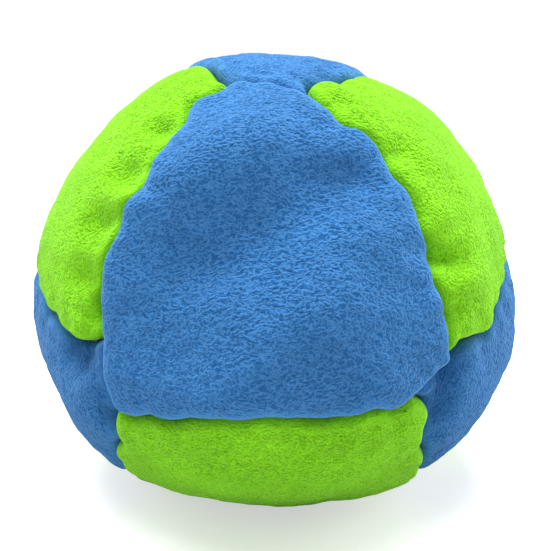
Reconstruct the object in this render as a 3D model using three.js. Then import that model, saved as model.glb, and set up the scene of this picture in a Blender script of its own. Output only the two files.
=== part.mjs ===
// A footbag: fourteen suede panels, eight hexagons and six squares, sewn edge to edge round loose sand.
// Millimetres, +Z up. The origin is on the floor under the middle of the bag, and the front panel faces -Y.
// Each panel is a domed tray. Its edge rolls over and runs inwards as a seam allowance, back to back with the
// next panel's, and a thread runs in and out through the stitch holes of both.
import * as THREE from "three";

// The bag as it stands, settled under its own weight
const bagWidth = 53;
const bagHeight = 47;
const widestHeight = 19.5;
const baseFlatWidth = 21;
const crownFullness = 2;
const bellyFullness = 2.28;

// The suede and its seams
const suedeThickness = 0.8;
const foldRadius = 0.6;
const seamGap = 0.3;
const seamSink = 0.75;
const cornerDipShare = 0.6;
const stitchPuff = 0.25;
const seamAllowance = 2.6;

// The thread
const threadDiameter = 0.6;
const knotDiameter = 1;
const knotLength = 1.1;
const threadClearance = 0.3;
const stitchLength = 5.8;

// The filling
const fillClearance = 0.45;

// The sectors round the bag, and its seam corners as angles from the middle of the widest ring, in degrees
const sectorCount = 6;
const crownCornerAngle = 54.2;
const baseCornerAngle = -51;
const ringCornerAngle = 5.2;
const ringSpreadAngle = 33.7;
const poleSpreadAngle = 10.9;

// Where the hand-sewn corners stray from the even layout, in degrees of azimuth and elevation
const cornerStrayAngles = {
  crown_0_left: [-8, 6.2],
  crown_0_right: [3, 5],
  crown_2_left: [8, 2.7],
  crown_2_right: [-2, 1.5],
  crown_4_left: [2.5, 1],
  crown_4_right: [-3, -0.5],
  ring_0_high: [4.7, -6.1],
  ring_0_low: [2.6, -2.3],
  ring_1_high: [-1, 8],
  ring_1_low: [1, 1.5],
  ring_2_high: [1.2, -1],
  ring_2_low: [-1, 0.6],
  ring_3_high: [-0.8, 1.4],
  ring_3_low: [1.6, -0.8],
  ring_4_high: [1.2, 8],
  ring_4_low: [-1.4, -1.2],
  ring_5_high: [-3.4, -2.6],
  ring_5_low: [-8.4, -7],
  base_1_left: [7.6, 1.8],
  base_1_right: [-1, 0.8],
  base_3_left: [-1.4, 1],
  base_3_right: [1.1, -0.6],
  base_5_left: [0.8, 0.7],
  base_5_right: [-7.6, 1.8],
};

// How far a long seam bows out of its hexagon and into the square, as shares of the largest bow
const largestBow = 1.4;
const usualBowShare = 0.26;
const bowShares = {
  "front to front_left": 1.2,
  "front to front_right": 0.8,
  "front to front": -0.4,
  "front_left to front_left": -0.8,
  "front_right to front_right": 0.2,
  "top to front_left": -0.9,
  "top to front_right": 0.3,
  "front_left to front": 0.1,
  "front_right to front": -0.5,
};

// How finely the faceted panels are cut, and the share of a seam over which its direction is taken
const domeRingShares = [0.2, 0.45, 0.75];
const longSideCounts = [5, 3, 2];
const shortSideCounts = [3, 2, 1];
const sinkPower = 3;
const fillLongCount = 4;
const fillShortCount = 2;
const threadSideCount = 4;
const slopeShare = 0.01;

// Sizes and places that follow
const sectors = [...Array(sectorCount).keys()];
const sectorAngle = 360 / sectorCount;
const domeRings = domeRingShares.map((share, i) => {
  return { share, long: longSideCounts[i], short: shortSideCounts[i] };
});
const edgeRoll = foldRadius + suedeThickness;
const cornerDip = cornerDipShare * foldRadius;
const halfGap = seamGap / 2;
const rollInset = halfGap + edgeRoll;
const wallInset = halfGap + suedeThickness;
const throatDepth = seamSink + edgeRoll;
const holeSize = threadDiameter + 2 * threadClearance;
const knotInset = wallInset + threadClearance;
const threadInset = knotInset + threadDiameter / 2;
const threadDepth = throatDepth + holeSize / 2;
const fillInset = knotInset + knotLength + fillClearance;
const innerFloor = suedeThickness;
const fillFloor = suedeThickness + fillClearance;
const rollDiagonal = 1 - Math.SQRT1_2;

const suedeBlue = new THREE.MeshStandardMaterial({ color: 0x3f7cbd, roughness: 0.95, metalness: 0 });
const suedeGreen = new THREE.MeshStandardMaterial({ color: 0x86d42f, roughness: 0.95, metalness: 0 });
const threadBlue = new THREE.MeshStandardMaterial({ color: 0x2f5f96, roughness: 0.7, metalness: 0 });
const paleSand = new THREE.MeshStandardMaterial({ color: 0xd9c59b, roughness: 1, metalness: 0 });

// The bag's outline: a superellipse turned about Z, fuller below its widest ring and cut flat by the floor
function direction(azimuth, elevation) {
  const a = THREE.MathUtils.degToRad(azimuth);
  const e = THREE.MathUtils.degToRad(elevation);
  return new THREE.Vector3(Math.sin(a) * Math.cos(e), -Math.cos(a) * Math.cos(e), Math.sin(e));
}

function superRadius(across, along, fullness, halfHeight) {
  const sum = Math.pow(across / (bagWidth / 2), fullness) + Math.pow(along / halfHeight, fullness);
  return Math.pow(sum, -1 / fullness);
}

function skinRadius(u) {
  const across = Math.hypot(u.x, u.y);
  if (u.z >= 0) return superRadius(across, u.z, crownFullness, bagHeight - widestHeight);
  const left = 1 - Math.pow(baseFlatWidth / bagWidth, bellyFullness);
  return superRadius(across, -u.z, bellyFullness, widestHeight / Math.pow(left, 1 / bellyFullness));
}

function pointAt(u, depth, floor = 0) {
  const p = u.clone().multiplyScalar(skinRadius(u) - depth);
  p.z = Math.max(p.z + widestHeight, floor);
  return p;
}

// The 24 corners, three seams each: six round the crown, twelve in pairs round the widest ring, six round the
// base. Sectors are numbered to the right from the front. Even ones hold an upper hexagon, odd ones a lower.
const corners = {};

function isUpper(sector) {
  return sector % 2 === 0;
}

function addCorner(name, azimuth, elevation) {
  const [aside, above] = cornerStrayAngles[name];
  corners[name] = direction(azimuth + aside, elevation + above);
}

for (const sector of sectors) {
  const middle = sector * sectorAngle;
  const [pole, elevation] = isUpper(sector) ? ["crown", crownCornerAngle] : ["base", baseCornerAngle];
  addCorner(`${pole}_${sector}_left`, middle - poleSpreadAngle, elevation);
  addCorner(`${pole}_${sector}_right`, middle + poleSpreadAngle, elevation);
  const nearSpread = sectorAngle - ringSpreadAngle;
  const [high, low] = isUpper(sector) ? [ringSpreadAngle, nearSpread] : [nearSpread, ringSpreadAngle];
  addCorner(`ring_${sector}_high`, middle + high, ringCornerAngle);
  addCorner(`ring_${sector}_low`, middle + low, -ringCornerAngle);
}

// The panels, each with its corners in turn, anticlockwise as seen from outside
const places = ["front", "front_right", "back_right", "back", "back_left", "front_left"];
const panels = [];

function addPanel(shape, place, ringOfCorners) {
  const middle = new THREE.Vector3();
  ringOfCorners.forEach((corner) => middle.add(corners[corner]));
  const name = `${shape}_panel_${place}`;
  panels.push({ name, shape, place, corners: ringOfCorners, middle: middle.normalize() });
}

function wrapped(sector) {
  return (sector + sectorCount) % sectorCount;
}

const upperSectors = sectors.filter(isUpper);
const lowerSectors = sectors.filter((sector) => !isUpper(sector)).reverse();
addPanel("hexagon", "top", upperSectors.flatMap((s) => [`crown_${s}_left`, `crown_${s}_right`]));
addPanel("hexagon", "bottom", lowerSectors.flatMap((s) => [`base_${s}_right`, `base_${s}_left`]));

for (const sector of sectors) {
  const left = wrapped(sector - 1);
  const right = wrapped(sector + 1);
  const place = places[sector];
  const pole = isUpper(sector) ? "crown" : "base";
  const [near, far] = isUpper(sector) ? ["high", "low"] : ["low", "high"];
  const hexagon = [
    `${pole}_${sector}_right`,
    `${pole}_${sector}_left`,
    `ring_${left}_${near}`,
    `ring_${left}_${far}`,
    `ring_${sector}_${far}`,
    `ring_${sector}_${near}`,
  ];
  const otherPole = isUpper(sector) ? "base" : "crown";
  const square = [
    `ring_${sector}_${far}`,
    `ring_${left}_${far}`,
    `${otherPole}_${left}_right`,
    `${otherPole}_${right}_left`,
  ];
  addPanel("hexagon", place, isUpper(sector) ? hexagon : hexagon.reverse());
  addPanel("square", place, isUpper(sector) ? square : square.reverse());
}

// The seams: one for each pair of neighbouring corners, shared by two panels
const seams = new Map();

function seamKey(a, b) {
  return [a, b].sort().join(" ");
}

for (const panel of panels) {
  panel.corners.forEach((from, i) => {
    const to = panel.corners[(i + 1) % panel.corners.length];
    const key = seamKey(from, to);
    const seam = seams.get(key) ?? { key, from, to, panels: [], across: new THREE.Vector3() };
    seam.panels.push(panel);
    seams.set(key, seam);
  });
}

for (const seam of seams.values()) {
  const a = corners[seam.from];
  const b = corners[seam.to];
  seam.angle = a.angleTo(b);
  seam.across.crossVectors(a, b).normalize();
  const square = seam.panels.find((panel) => panel.shape === "square");
  seam.isLong = square !== undefined;
  const length = (seam.angle * bagWidth) / 2;
  seam.stitches = 2 * Math.max(1, Math.round(length / (2 * stitchLength)));
  seam.bow = 0;
  if (seam.isLong) {
    const hexagon = seam.panels.find((panel) => panel.shape === "hexagon");
    const side = Math.sign(square.middle.dot(seam.across));
    seam.bow = side * largestBow * (bowShares[`${hexagon.place} to ${square.place}`] ?? usualBowShare);
  }
}

// A point of a seam's line, at a share of its length from its first corner
function seamDirection(seam, share) {
  const a = corners[seam.from];
  const b = corners[seam.to];
  const u = a.clone().multiplyScalar(Math.sin((1 - share) * seam.angle));
  u.addScaledVector(b, Math.sin(share * seam.angle)).normalize();
  const swing = (seam.bow * Math.sin(Math.PI * share)) / (bagWidth / 2);
  return u.multiplyScalar(Math.cos(swing)).addScaledVector(seam.across, Math.sin(swing));
}

// One side of a panel, as the place on its seam and the inward direction there
function sidePoint(panel, side, share) {
  const from = panel.corners[side];
  const to = panel.corners[(side + 1) % panel.corners.length];
  const seam = seams.get(seamKey(from, to));
  const isForward = seam.from === from;
  const at = (s) => seamDirection(seam, isForward ? s : 1 - s);
  const u = at(share);
  const along = at(share + slopeShare).sub(at(share - slopeShare)).normalize();
  return { u, inward: new THREE.Vector3().crossVectors(u, along).normalize(), seam };
}

// The same for a corner, where the inward direction is the mitre of both sides
function cornerPoint(panel, side) {
  const before = (side + panel.corners.length - 1) % panel.corners.length;
  const next = sidePoint(panel, side, 0);
  const last = sidePoint(panel, before, 1);
  const inward = next.inward.clone().add(last.inward);
  inward.divideScalar(1 + next.inward.dot(last.inward));
  return { u: next.u, inward, seam: next.seam };
}

function insetDirection(place, inset) {
  const angle = inset / skinRadius(place.u);
  return place.u.clone().addScaledVector(place.inward, Math.tan(angle)).normalize();
}

// The stations round a panel: its corners, both edges of each stitch hole, and the puffs between the holes
function stationsOf(panel) {
  const stations = [];
  panel.corners.forEach((corner, side) => {
    stations.push({ ...cornerPoint(panel, side), kind: "corner", at: side });
    const { seam } = sidePoint(panel, side, 0.5);
    const half = holeSize / bagWidth / seam.angle;
    for (let stitch = 0; stitch < seam.stitches; stitch += 1) {
      const share = (stitch + 0.5) / seam.stitches;
      const add = (kind, s) => stations.push({ ...sidePoint(panel, side, s), kind, at: side + s });
      add("before_hole", share - half);
      add("after_hole", share + half);
      if (stitch < seam.stitches - 1) add("puff", (stitch + 1) / seam.stitches);
    }
  });
  return stations;
}

function ringOf(stations, inset, depthOf, floor = 0) {
  return stations.map((station) => {
    const point = pointAt(insetDirection(station, inset), depthOf(station), floor);
    return { at: station.at, kind: station.kind, point };
  });
}

// A ring of the dome, at a share of the way from the rolled edge to the panel's middle
function domeRing(panel, ring, below, floor = 0) {
  const points = [];
  panel.corners.forEach((corner, side) => {
    const { seam } = sidePoint(panel, side, 0.5);
    const steps = seam.isLong ? ring.long : ring.short;
    for (let step = 0; step < steps; step += 1) {
      const place = step === 0 ? cornerPoint(panel, side) : sidePoint(panel, side, step / steps);
      const u = insetDirection(place, rollInset).lerp(panel.middle, ring.share).normalize();
      const depth = seamSink * Math.pow(1 - ring.share, sinkPower) + below;
      points.push({ at: side + step / steps, point: pointAt(u, depth, floor) });
    }
  });
  return points;
}

function middleRing(panel, depth, floor = 0) {
  return [{ at: 0, point: pointAt(panel.middle, depth, floor) }];
}

// A surface that grows ring by ring. Each ring is a loop of points with their places round the panel.
class Surface {
  constructor() {
    this.triangles = [];
  }

  triangle(a, b, c) {
    this.triangles.push(a.point, b.point, c.point);
  }

  quad(a, b, c, d) {
    this.triangle(a, b, c);
    this.triangle(a, c, d);
  }

  // The band between two rings, the first nearer the middle. Rings may differ in how many points they have.
  band(inner, outer, turns, skip = () => false) {
    let i = 0;
    let j = 0;
    while (i < inner.length || j < outer.length) {
      const innerNext = i + 1 < inner.length ? inner[i + 1].at : turns;
      const outerNext = j + 1 < outer.length ? outer[j + 1].at : turns;
      const a = inner[i % inner.length];
      const b = outer[j % outer.length];
      const canStepInner = i < inner.length && inner.length > 1;
      const canStepOuter = j < outer.length;
      if (canStepInner && canStepOuter && innerNext === outerNext) {
        const c = outer[(j + 1) % outer.length];
        const d = inner[(i + 1) % inner.length];
        if (!skip(a)) this.quad(a, b, c, d);
        i += 1;
        j += 1;
      } else if (canStepOuter && (!canStepInner || outerNext < innerNext)) {
        this.triangle(a, b, outer[(j + 1) % outer.length]);
        j += 1;
      } else if (canStepInner) {
        this.triangle(a, b, inner[(i + 1) % inner.length]);
        i += 1;
      } else {
        break;
      }
    }
  }

  geometry() {
    return new THREE.BufferGeometry().setFromPoints(this.triangles);
  }
}

// A panel: out from the middle over the dome, down its turned-in edge, round the raw end and back inside
function panelGeometry(panel) {
  const surface = new Surface();
  const turns = panel.corners.length;
  const stations = stationsOf(panel);
  const wall = stations.filter((s) => s.kind !== "puff");
  const dip = (s) => (s.kind === "corner" ? cornerDip : s.kind === "puff" ? -stitchPuff : 0);
  const isHole = (s) => s.kind === "before_hole";
  const rolled = edgeRoll * rollDiagonal;
  const rings = [
    middleRing(panel, 0),
    ...domeRings.toReversed().map((ring) => domeRing(panel, ring, 0)),
    ringOf(stations, rollInset, (s) => seamSink + dip(s)),
    ringOf(stations, halfGap + rolled, (s) => seamSink + dip(s) + rolled),
  ];
  const wallDepths = [throatDepth, throatDepth + holeSize, throatDepth + seamAllowance];
  const outerWall = wallDepths.map((depth) => ringOf(wall, halfGap, () => depth));
  const innerWall = wallDepths.map((depth) => ringOf(wall, wallInset, () => depth));
  const inside = [
    ringOf(wall, rollInset, () => seamSink + cornerDip + suedeThickness, innerFloor),
    ...domeRings.map((ring) => domeRing(panel, ring, suedeThickness, innerFloor)),
    middleRing(panel, suedeThickness, innerFloor),
  ];
  rings.push(outerWall[0]);
  for (let k = 1; k < rings.length; k += 1) surface.band(rings[k - 1], rings[k], turns);
  surface.band(outerWall[0], outerWall[1], turns, isHole);
  surface.band(outerWall[1], outerWall[2], turns);
  surface.band(outerWall[2], innerWall[2], turns);
  surface.band(innerWall[2], innerWall[1], turns);
  surface.band(innerWall[1], innerWall[0], turns, isHole);
  surface.band(innerWall[0], inside[0], turns);
  for (let k = 1; k < inside.length; k += 1) innerBand(surface, inside[k - 1], inside[k], turns);
  wall.forEach((station, i) => {
    if (!isHole(station)) return;
    const rim = (ring, k) => [ring[0][k], ring[0][k + 1], ring[1][k + 1], ring[1][k]];
    const mouth = rim(outerWall, i);
    const back = rim(innerWall, i);
    mouth.forEach((corner, k) => {
      const next = (k + 1) % mouth.length;
      surface.quad(mouth[next], corner, back[k], back[next]);
    });
  });
  return surface.geometry();
}

// A band whose second ring has fewer points, down to one: the same band seen from the other side
function innerBand(surface, outer, inner, turns) {
  const mirrored = new Surface();
  mirrored.band(inner, outer, turns);
  for (let k = 0; k < mirrored.triangles.length; k += 3) {
    const [a, b, c] = mirrored.triangles.slice(k, k + 3);
    surface.triangles.push(a, c, b);
  }
}

// The sand: a pillow behind each panel, and a groove between them that clears the seam allowances
function fillGeometry() {
  const surface = new Surface();
  const grooveDepth = throatDepth + seamAllowance + threadClearance;
  const floors = new Map();
  for (const panel of panels) {
    const turns = panel.corners.length;
    const places = [];
    panel.corners.forEach((corner, side) => {
      const { seam } = sidePoint(panel, side, 0.5);
      const steps = seam.isLong ? fillLongCount : fillShortCount;
      for (let step = 0; step < steps; step += 1) {
        const place = step === 0 ? cornerPoint(panel, side) : sidePoint(panel, side, step / steps);
        places.push({ ...place, at: side + step / steps });
      }
    });
    const below = suedeThickness + fillClearance;
    const rings = [
      middleRing(panel, below, fillFloor),
      ...domeRings.toReversed().map((ring) => domeRing(panel, ring, below, fillFloor)),
      ringOf(places, fillInset, () => seamSink + cornerDip + below, fillFloor),
      ringOf(places, fillInset, () => grooveDepth, fillFloor),
    ];
    const grooveEdge = rings[rings.length - 1];
    for (let k = 1; k < rings.length; k += 1) surface.band(rings[k - 1], rings[k], turns);
    floors.set(panel, grooveEdge);
  }
  for (const seam of seams.values()) {
    const [one, other] = seam.panels.map((panel) => sideOfFloor(floors.get(panel), panel, seam));
    other.reverse();
    for (let k = 1; k < one.length; k += 1) surface.quad(one[k - 1], other[k - 1], other[k], one[k]);
  }
  for (const name of Object.keys(corners)) {
    const around = panels.filter((panel) => panel.corners.includes(name));
    const [a, b, c] = around.map((panel) => {
      return floors.get(panel).find((p) => p.at === panel.corners.indexOf(name));
    });
    const normal = b.point.clone().sub(a.point).cross(c.point.clone().sub(a.point));
    if (normal.dot(corners[name]) > 0) surface.triangle(a, b, c);
    else surface.triangle(a, c, b);
  }
  return surface.geometry();
}

// The stretch of a panel's groove edge that runs along one seam, corner to corner
function sideOfFloor(floor, panel, seam) {
  const side = panel.corners.findIndex((corner, i) => {
    const next = panel.corners[(i + 1) % panel.corners.length];
    return seamKey(corner, next) === seam.key;
  });
  const end = floor.find((p) => p.at === (side + 1) % panel.corners.length);
  return [...floor.filter((p) => p.at >= side && p.at < side + 1), end];
}

// A thread along a line of points, four-sided, with a knot beyond each end
function threadGeometry(path) {
  const ends = [[path[0], path[1]], [path.at(-1), path.at(-2)]];
  const [firstEnd, lastEnd] = ends.map(([end, before]) => {
    const knot = end.clone().sub(before).setLength(knotLength / 2);
    return [end.clone().add(knot), end.clone().addScaledVector(knot, 2)];
  });
  const thread = (point) => ({ point, radius: threadDiameter / 2 });
  const knot = (point) => ({ point, radius: knotDiameter / 2 });
  const start = [thread(firstEnd[1]), knot(firstEnd[0])];
  const rings = threadRings([...start, ...path.map(thread), knot(lastEnd[0]), thread(lastEnd[1])]);
  const surface = new Surface();
  for (let k = 1; k < rings.length; k += 1) {
    rings[k].forEach((corner, side) => {
      const next = (side + 1) % threadSideCount;
      surface.quad(rings[k - 1][side], rings[k - 1][next], rings[k][next], corner);
    });
  }
  const head = rings[0];
  const tail = rings.at(-1);
  surface.quad(head[3], head[2], head[1], head[0]);
  surface.quad(tail[0], tail[1], tail[2], tail[3]);
  return surface.geometry();
}

// The thread's cross-sections. Each is carried on along its own stretch and cut at the bend to the next.
function threadRings(stops) {
  const across = stops[0].point.clone().sub(new THREE.Vector3(0, 0, widestHeight));
  return stops.map((stop, k) => {
    const behind = stop.point.clone().sub(stops[Math.max(k - 1, 0)].point).normalize();
    const ahead = stops[Math.min(k + 1, stops.length - 1)].point.clone().sub(stop.point).normalize();
    const along = k > 0 ? behind : ahead;
    const bend = behind.clone().add(ahead).normalize();
    across.addScaledVector(along, -across.dot(along)).normalize();
    const beside = new THREE.Vector3().crossVectors(along, across);
    return Array.from({ length: threadSideCount }, (_, side) => {
      const turn = (2 * Math.PI * (side + 0.5)) / threadSideCount;
      const spoke = across.clone().multiplyScalar(Math.cos(turn)).addScaledVector(beside, Math.sin(turn));
      spoke.multiplyScalar(stop.radius);
      spoke.addScaledVector(along, -spoke.dot(bend) / along.dot(bend));
      return { point: spoke.add(stop.point) };
    });
  });
}

// The thread's run along one side of a panel: in and out through each hole, and back on its own side
function runAlong(panel, side) {
  const { seam } = sidePoint(panel, side, 0.5);
  const path = [];
  for (let stitch = 0; stitch < seam.stitches; stitch += 1) {
    const place = sidePoint(panel, side, (stitch + 0.5) / seam.stitches);
    const own = pointAt(insetDirection(place, threadInset), threadDepth);
    const beyond = pointAt(insetDirection(place, -threadInset), threadDepth);
    path.push(...(stitch % 2 === 0 ? [own, beyond] : [beyond, own]));
  }
  return path;
}

// A run's first and last points are where its knots bear on the panel's seam allowance
function knotted(panel, firstSide, lastSide, path) {
  const bearing = (side, stitch) => {
    const { seam } = sidePoint(panel, side, 0.5);
    const share = (stitch + (stitch < 0 ? seam.stitches : 0) + 0.5) / seam.stitches;
    return pointAt(insetDirection(sidePoint(panel, side, share), knotInset), threadDepth);
  };
  return [bearing(firstSide, 0), ...path.slice(1, -1), bearing(lastSide, -1)];
}

// Round a square, one thread sews all four sides. Between two hexagons each seam has its own.
function squareThread(panel) {
  const path = panel.corners.flatMap((corner, side) => {
    const bend = pointAt(insetDirection(cornerPoint(panel, side), threadInset), threadDepth);
    const run = runAlong(panel, side);
    return side > 0 ? [bend, ...run] : run;
  });
  return threadGeometry(knotted(panel, 0, panel.corners.length - 1, path));
}

function seamThread(panel, side) {
  return threadGeometry(knotted(panel, side, side, runAlong(panel, side)));
}

const footbag = new THREE.Group();

function addPiece(name, geometry, material) {
  const mesh = new THREE.Mesh(geometry, material);
  mesh.name = name;
  footbag.add(mesh);
}

for (const panel of panels) {
  addPiece(panel.name, panelGeometry(panel), panel.shape === "hexagon" ? suedeBlue : suedeGreen);
}

for (const panel of panels.filter((p) => p.shape === "square")) {
  addPiece(`square_thread_${panel.place}`, squareThread(panel), threadBlue);
}

for (const seam of seams.values()) {
  if (seam.isLong) continue;
  const [one, other] = seam.panels;
  const side = one.corners.indexOf(seam.from);
  addPiece(`seam_thread_${one.place}_to_${other.place}`, seamThread(one, side), threadBlue);
}

addPiece("sand_filling", fillGeometry(), paleSand);

export default footbag;
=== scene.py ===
"""The looks of a sewn footbag: suede panels, their seams, the thread and the sand, in a white studio.

Lengths are millimetres and angles are degrees, until a mesh or a camera is placed: Blender's own unit is the metre.
The bag stands on Z = 0 with its front panel towards -Y. A direction is a unit vector from the middle of the bag's
widest ring, and a depth is measured from the bag's outline towards that middle.
"""

import logging
import math
from dataclasses import dataclass, field
from enum import Enum

import bmesh
import bpy
import numpy as np
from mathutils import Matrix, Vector, noise


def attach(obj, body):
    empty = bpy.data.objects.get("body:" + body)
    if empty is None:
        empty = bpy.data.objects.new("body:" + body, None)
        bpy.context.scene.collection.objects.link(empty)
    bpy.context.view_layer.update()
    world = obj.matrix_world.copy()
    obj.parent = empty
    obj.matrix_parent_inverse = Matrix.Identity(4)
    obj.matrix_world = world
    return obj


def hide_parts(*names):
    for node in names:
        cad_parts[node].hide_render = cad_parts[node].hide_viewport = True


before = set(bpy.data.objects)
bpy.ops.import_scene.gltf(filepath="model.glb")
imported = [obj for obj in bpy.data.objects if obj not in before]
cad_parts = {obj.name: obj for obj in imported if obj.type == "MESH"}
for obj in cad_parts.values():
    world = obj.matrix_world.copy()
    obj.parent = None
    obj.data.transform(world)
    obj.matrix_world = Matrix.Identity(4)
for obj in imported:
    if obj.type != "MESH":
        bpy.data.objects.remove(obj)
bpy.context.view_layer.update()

LOG = logging.getLogger("footbag")
METRES = 0.001
WHITE = (1.0, 1.0, 1.0, 1.0)


class Shape(Enum):
    """The two shapes of panel in the skin."""

    HEXAGON = "hexagon"
    SQUARE = "square"


def unit(vectors: np.ndarray) -> np.ndarray:
    """Scales a vector, or each row of an array of vectors, to length one and returns the result."""
    return vectors / np.linalg.norm(vectors, axis=-1, keepdims=True)


def direction(azimuth: float, elevation: float) -> np.ndarray:
    """Turns two angles into a direction from the middle of the bag.

    Args:
        azimuth: angle round Z in degrees, from the front (-Y) towards the right (+X).
        elevation: angle above the widest ring in degrees.

    Returns:
        The direction as a unit vector.
    """
    turn, rise = math.radians(azimuth), math.radians(elevation)
    return np.array([math.sin(turn) * math.cos(rise), -math.cos(turn) * math.cos(rise), math.sin(rise)])


def meshed(bm: bmesh.types.BMesh, name: str) -> bpy.types.Mesh:
    """Turns an edit mesh into a mesh, and frees it.

    Args:
        bm: the edit mesh.
        name: the mesh's name.

    Returns:
        The mesh, not yet in the scene.
    """
    mesh = bpy.data.meshes.new(name)
    bm.to_mesh(mesh)
    bm.free()
    return mesh


def vertices(mesh: bpy.types.Mesh) -> np.ndarray:
    """Reads a mesh's vertices.

    Args:
        mesh: the mesh to read.

    Returns:
        One vertex in each row.
    """
    places = np.empty(len(mesh.vertices) * 3)
    mesh.vertices.foreach_get("co", places)
    return places.reshape(-1, 3)


def move(mesh: bpy.types.Mesh, points: np.ndarray) -> None:
    """Moves a mesh's vertices to points in millimetres."""
    mesh.vertices.foreach_set("co", (points * METRES).ravel())


def link(mesh: bpy.types.Mesh) -> bpy.types.Object:
    """Puts a mesh into the scene.

    Args:
        mesh: the mesh to put there.

    Returns:
        An object of the same name.
    """
    piece = bpy.data.objects.new(mesh.name, mesh)
    bpy.context.scene.collection.objects.link(piece)
    return piece


@dataclass(frozen=True)
class Swell:
    """A soft rise or hollow: its place and height, its spread in degrees, and how far it is stretched which way.

    It is stretched along its parallel, towards the right. The lean turns that way upwards, in degrees.
    """

    azimuth: float
    elevation: float
    height: float
    spread: float
    stretch: float = 1.0
    lean: float = 0.0

    def heights(self, directions: np.ndarray) -> np.ndarray:
        """Works out how far the swell lifts the skin.

        Args:
            directions: one direction in each row.

        Returns:
            The lift at each direction, in millimetres.
        """
        middle = direction(self.azimuth, self.elevation)
        east = unit(np.cross([0.0, 0.0, 1.0], middle))
        north = np.cross(middle, east)
        lean = math.radians(self.lean)
        along = math.cos(lean) * east + math.sin(lean) * north
        across = math.cos(lean) * north - math.sin(lean) * east
        spread = math.radians(self.spread)
        reach = ((directions @ along) / (spread * self.stretch)) ** 2 + ((directions @ across) / spread) ** 2
        facing = directions @ middle > 0
        return self.height * np.exp(-reach) * facing


# The folds, dents and rises that the photograph shows. Each gives a swell's azimuth, elevation, height and spread, and
# then its stretch and its lean where it has them
SEEN_SWELLS = tuple(
    Swell(*values)
    for values in (
        # The broad folds of the front panel
        (4.0, 29.0, -1.6, 8.0, 2.3, 30.0), (16.0, 36.5, -0.6, 3.2, 2.6, -3.0), (-17.0, 18.0, -1.3, 7.5, 1.2, 40.0),
        (-11.0, 41.0, 1.6, 8.5, 2.2, 32.0), (-3.0, 2.0, 1.4, 7.3, 2.0, 32.0), (11.0, 10.0, 0.9, 11.0, 0.8),
        (10.0, -6.0, -0.5, 3.0, 1.6, 45.0),
        # The hollows of the upper left panel
        (-35.0, 47.5, -1.05, 3.6), (-38.0, 36.5, -1.2, 3.6, 1.3), (-41.0, 25.5, -1.2, 3.6, 1.4),
        (-42.0, 15.0, -1.0, 4.0, 1.2), (-38.5, 6.0, -0.6, 3.0, 1.5, 80.0),
        # The small rises of the front panel
        (18.0, -3.5, 0.55, 6.0), (16.0, 1.0, 0.5, 4.5, 1.5), (15.0, 26.0, 0.45, 5.0, 1.4),
        (-11.0, 13.0, 0.4, 5.0, 1.3, 30.0),
        # The hollows of the upper right panel
        (23.0, 53.0, -0.5, 4.0), (34.0, 42.0, -0.4, 4.0, 1.5, -50.0), (35.0, 27.5, -0.4, 4.0),
        (37.5, 18.8, -1.5, 2.5, 2.4, -14.0), (43.0, 14.0, 0.4, 3.5, 1.6), (39.0, 8.0, -0.5, 4.5),
        # The outline all round
        (-70.0, 67.0, 0.4, 12.0), (-64.0, 74.0, 0.35, 8.0), (0.0, 84.0, -0.25, 9.0), (-76.0, 46.0, -0.3, 10.0),
        (-74.0, 10.0, 0.6, 12.0), (-65.0, -15.0, -0.7, 7.0), (-52.0, -35.0, 0.9, 11.0), (50.0, -35.0, 0.85, 11.0),
        (36.0, -42.0, 0.45, 8.0), (68.0, -4.0, 0.55, 12.0), (76.0, 16.0, 0.3, 10.0), (-82.0, -40.0, 0.6, 10.0),
        (82.0, -40.0, 0.7, 10.0),
    )
)


@dataclass(frozen=True)
class FarSwells:
    """Soft rises and hollows of the sides that the photograph doesn't show."""

    count: int = 26
    least_azimuth: float = 85.0
    least_elevation: float = -35.0
    most_elevation: float = 75.0
    height: float = 0.45
    least_spread: float = 4.5
    most_spread: float = 9.0
    most_stretch: float = 2.4
    most_lean: float = 90.0
    seed: int = 7

    def drawn(self) -> tuple[Swell, ...]:
        """Draws the swells.

        Returns:
            The swells, always the same ones.
        """
        draws = np.random.default_rng(self.seed)
        return tuple(
            Swell(
                azimuth=draws.uniform(self.least_azimuth, 360 - self.least_azimuth),
                elevation=draws.uniform(self.least_elevation, self.most_elevation),
                height=draws.uniform(-self.height, self.height),
                spread=draws.uniform(self.least_spread, self.most_spread),
                stretch=draws.uniform(1.0, self.most_stretch),
                lean=draws.uniform(-self.most_lean, self.most_lean),
            )
            for _ in range(self.count)
        )


@dataclass
class BagOutline:
    """The outline of the settled bag: a superellipse turned about Z, with soft swells."""

    width: float = 53.0
    height: float = 47.0
    widest_height: float = 19.5
    base_width: float = 21.0
    crown_fullness: float = 2.0
    belly_fullness: float = 2.28
    swells: tuple[Swell, ...] = ()

    def radius(self, directions: np.ndarray) -> np.ndarray:
        """Works out the plain outline's distance from the middle.

        Args:
            directions: one direction in each row.

        Returns:
            The distance along each direction, in millimetres.
        """
        across = np.hypot(directions[:, 0], directions[:, 1]) * 2 / self.width
        flat_left = 1 - (self.base_width / self.width) ** self.belly_fullness
        below = self.widest_height / flat_left ** (1 / self.belly_fullness)
        above = self.height - self.widest_height
        upper = directions[:, 2] >= 0
        fullness = np.where(upper, self.crown_fullness, self.belly_fullness)
        rise = np.abs(directions[:, 2]) / np.where(upper, above, below)
        return (across**fullness + rise**fullness) ** (-1 / fullness)

    def points(self, directions: np.ndarray, depths: np.ndarray, floor: float = 0.0) -> np.ndarray:
        """Places points at a depth below the outline.

        Args:
            directions: one direction in each row.
            depths: how far each point lies below the outline.
            floor: the lowest height that a point may have.

        Returns:
            One point in each row.
        """
        reach = self.radius(directions) - depths
        for swell in self.swells:
            reach = reach + swell.heights(directions)
        places = directions * reach[:, None]
        places[:, 2] = np.maximum(places[:, 2] + self.widest_height, floor)
        return places


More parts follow.
